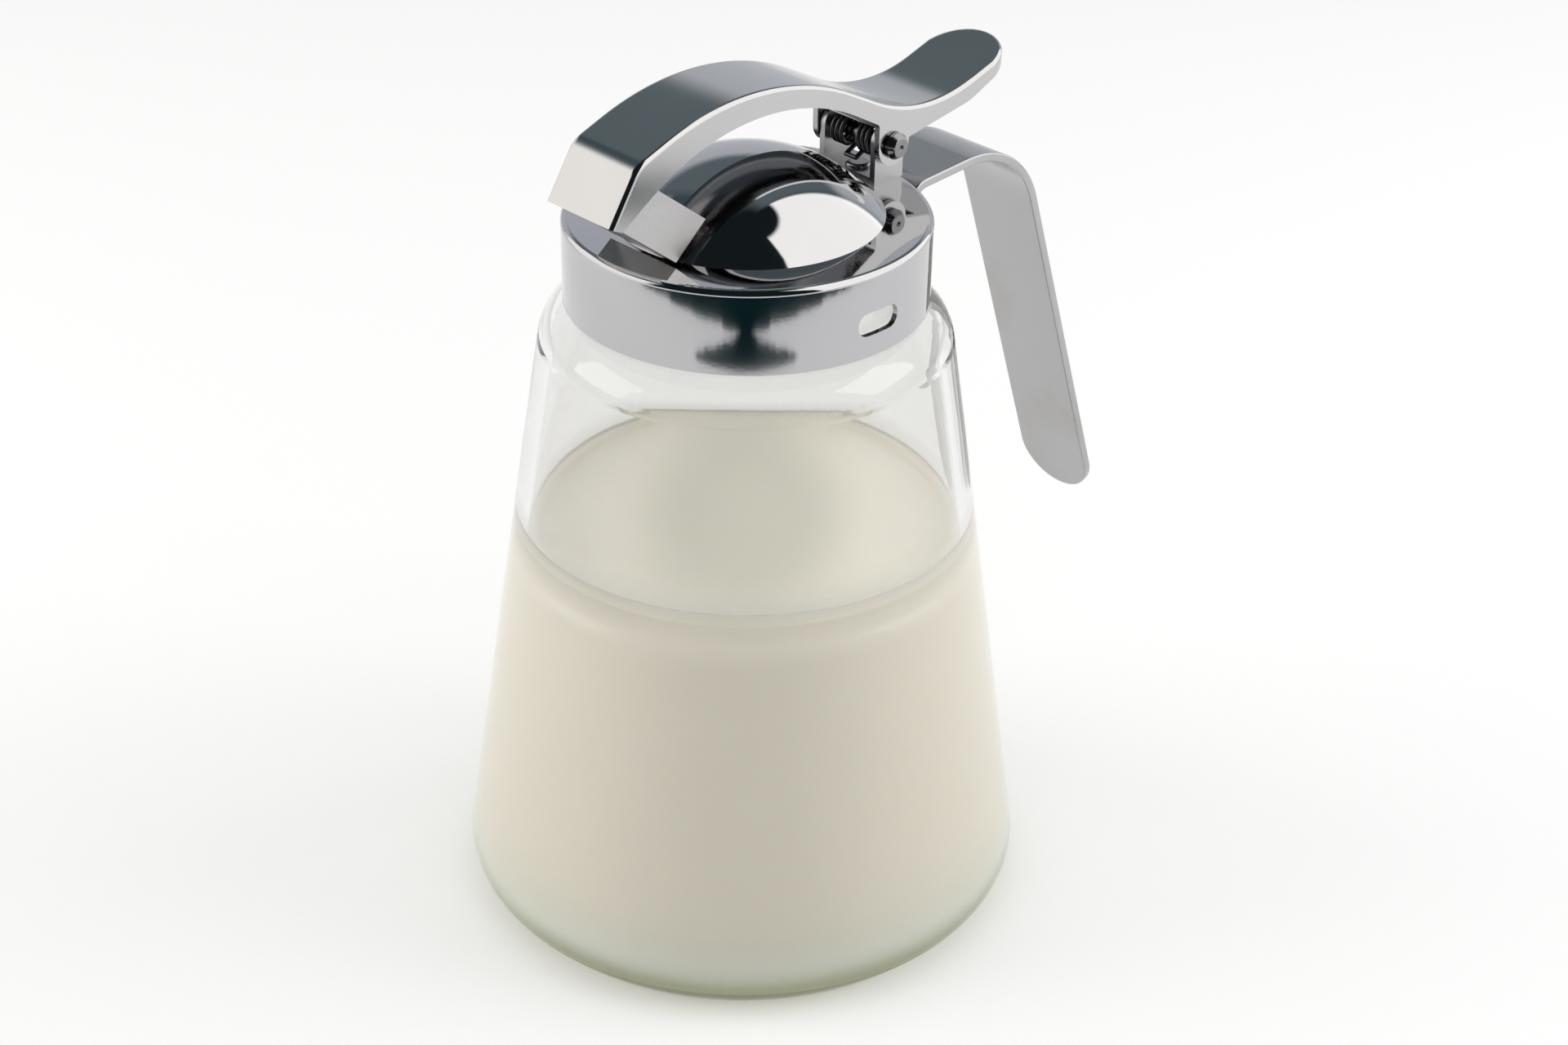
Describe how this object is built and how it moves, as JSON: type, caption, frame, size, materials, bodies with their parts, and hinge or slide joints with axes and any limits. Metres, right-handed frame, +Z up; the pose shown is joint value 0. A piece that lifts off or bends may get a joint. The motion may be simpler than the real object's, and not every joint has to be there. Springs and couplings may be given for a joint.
{
  "type": "milk jug",
  "caption": "Glass milk jug with a domed metal cap, a sprung thumb lever that lifts a stopper from the pour hole, a strap handle and milk inside.",
  "frame": {"origin": "middle of the glass foot, on the table", "axes": "+Z up along the jar's axis, +X towards the strap handle and the thumb pad, +Y to the left when seen from behind the handle looking forward to the nose"},
  "size_m": [0.1428, 0.104, 0.1601],
  "materials": {
    "clear_glass": "clear, smooth",
    "milk": "opaque off-white liquid, wet surface",
    "polished_steel": "mirror polished",
    "spring_steel": "dark bright-drawn wire",
    "cast_metal": "plated die casting, soft polish"
  },
  "bodies": {
    "jug": {"glass_jar": "clear_glass", "milk": "milk", "cap": "polished_steel", "hinge_bracket": "polished_steel", "bracket_rivet": "polished_steel", "hinge_pin": "polished_steel", "spring": "spring_steel", "handle_strap": "polished_steel"},
    "lever": {"thumb_lever": "cast_metal", "stopper": "cast_metal"}
  },
  "joints": [
    {"name": "lever_hinge", "type": "hinge", "parent": "jug", "child": "lever", "pos_m": [0.0272, 0, 0.14202], "axis": [0, 1, 0], "range_deg": [0, 22], "stiffness_Nm_per_rad": 0.12, "springref_deg": -28.65}
  ]
}
